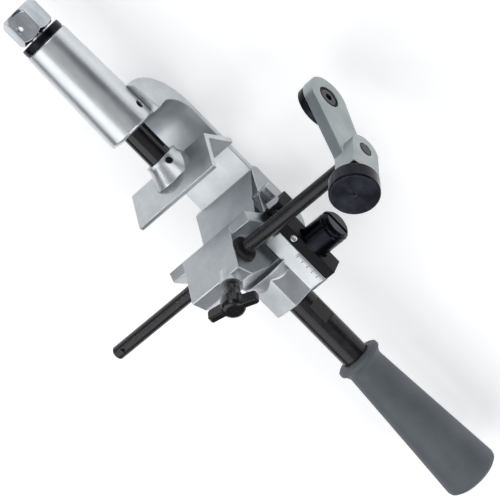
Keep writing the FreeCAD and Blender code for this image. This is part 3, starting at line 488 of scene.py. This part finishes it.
for plain_node, plain_finish in {
    "upper_thrust_washer": STEEL, "lower_thrust_washer": STEEL, "feed_screw": STEEL,
    "drive_pin": STEEL, "plunger_nut": BRONZE, "key_screw": BLACK_STEEL,
    "jaw_set_screw": BLACK_STEEL, "rod_stop_pin": BLACK_STEEL, "wing_stud": BLACK_STEEL,
    "rod_clamp_pad": BRONZE, "arm_stud": BLACK_STEEL, "pad_screw": BLACK_STEEL,
    "blade": MILLED, "blade_screw": BLACK_STEEL, "knife_stud": BLACK_STEEL,
    "knife_washer": BLACK_STEEL,
}.items():
    dress(plain_node, plain_finish)


# ---------------------------------------------------------------- studio
STUDIO_CENTRE = (0.05, 0, 0)
FLOOR_SIZE = 4.0
FLOOR_GAP = 0.0005                      # between the tool and the floor
FLOOR_GLOW = 0.34
ROOM_STRENGTH = 0.5
ROOM_STOPS = (                          # colour of the room from straight down (0) to straight up (1)
    (0.0, (0.8, 0.8, 0.82)), (0.5, (0.42, 0.44, 0.5)), (0.6, (0.1, 0.11, 0.14)),
    (0.74, (0.3, 0.31, 0.35)), (0.84, (0.9, 0.91, 0.95)), (1.0, (1, 1, 1)),
)
LIGHTS = (                              # name, place, side (m), power (W), colour
    ("key_light", (0.3, -1.0, 1.5), 1.9, 14, (1, 1, 1)),
    ("fill_light", (-1.3, 0.8, 0.9), 0.9, 5, (0.95, 0.97, 1)),
    ("edge_light", (1.2, 0.9, 0.8), 0.7, 5, (1, 1, 1)),
    ("side_panel", (-1.6, -0.9, 0.4), 0.9, 1.0, (0.94, 0.97, 1)),
    ("spark_left", (-0.9, -1.0, 1.1), 0.14, 1.6, (1, 1, 1)),
    ("spark_right", (1.2, 0.3, 1.1), 0.14, 1.4, (0.95, 0.96, 1)),
)

# camera at the photograph's viewing angle
CAMERA_PLACE = (-0.1717, 0.6624, 1.1795)
CAMERA_BACK = (-0.16325, 0.48349, 0.86000)
CAMERA_RIGHT = (0.69336, 0.67634, -0.24862)
CAMERA_LENS_MM = 138.2
CAMERA_SENSOR_MM = 36
CAMERA_REACH = 20


def floor_finish():
    """Matt near-white with a very faint cloud, and a little light of its own."""
    look = Finish("studio_floor", Roughness=0.9, Emission_Strength=FLOOR_GLOW)
    look.shader.inputs["Emission Color"].default_value = (1, 1, 1, 1)
    colour = look.ramp(look.noise(400, 2), (NOISE_LOW, (0.9, 0.9, 0.9)), (NOISE_HIGH, (0.93, 0.93, 0.93)))
    return look.finish(colour)


def add_floor():
    """Flat sheet just under the tool."""
    mesh = bpy.data.meshes.new("floor_mesh")
    sheet = bmesh.new()
    bmesh.ops.create_grid(sheet, x_segments=1, y_segments=1, size=FLOOR_SIZE)
    sheet.to_mesh(mesh)
    sheet.free()
    mesh.materials.append(floor_finish())
    floor = bpy.data.objects.new("studio_floor", mesh)
    lowest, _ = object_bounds()
    floor.location = (STUDIO_CENTRE[0], STUDIO_CENTRE[1], lowest.z - FLOOR_GAP)
    bpy.context.scene.collection.objects.link(floor)


def add_light(name, place, side, power, colour):
    """Square area light at place, aimed at the tool."""
    lamp = bpy.data.lights.new(name, "AREA")
    lamp.size = side
    lamp.energy = power
    lamp.color = colour
    made = bpy.data.objects.new(name, lamp)
    made.location = place
    aim = Vector(STUDIO_CENTRE) - Vector(place)
    made.rotation_euler = aim.to_track_quat("-Z", "Y").to_euler()
    bpy.context.scene.collection.objects.link(made)


def set_world():
    """Soft room: bright overhead, with a darker, cooler band lower down."""
    world = bpy.data.worlds.new("studio_world")
    bpy.context.scene.world = world
    world.use_nodes = True
    tree = world.node_tree
    background = tree.nodes["Background"]
    place = tree.nodes.new("ShaderNodeTexCoord")
    split = tree.nodes.new("ShaderNodeSeparateXYZ")
    span = tree.nodes.new("ShaderNodeMapRange")
    ramp = tree.nodes.new("ShaderNodeValToRGB")
    span.inputs["From Min"].default_value = -1
    fill_ramp(ramp, ROOM_STOPS)
    tree.links.new(place.outputs["Generated"], split.inputs["Vector"])
    tree.links.new(split.outputs["Z"], span.inputs["Value"])
    tree.links.new(span.outputs["Result"], ramp.inputs["Fac"])
    tree.links.new(ramp.outputs["Color"], background.inputs["Color"])
    background.inputs["Strength"].default_value = ROOM_STRENGTH


def add_camera():
    """The scene's camera, turned so that its view matches the photograph's."""
    back = Vector(CAMERA_BACK).normalized()
    right = Vector(CAMERA_RIGHT)
    right = (right - back * right.dot(back)).normalized()
    turn = Matrix((right, back.cross(right), back)).transposed().to_4x4()
    lens = bpy.data.cameras.new("camera")
    lens.lens = CAMERA_LENS_MM
    lens.sensor_width = CAMERA_SENSOR_MM
    lens.clip_end = CAMERA_REACH
    camera = bpy.data.objects.new("camera", lens)
    bpy.context.scene.collection.objects.link(camera)
    camera.matrix_world = Matrix.Translation(CAMERA_PLACE) @ turn
    bpy.context.scene.camera = camera


add_floor()
set_world()
for light in LIGHTS:
    add_light(*light)
add_camera()
bpy.context.scene.view_settings.view_transform = "Standard"
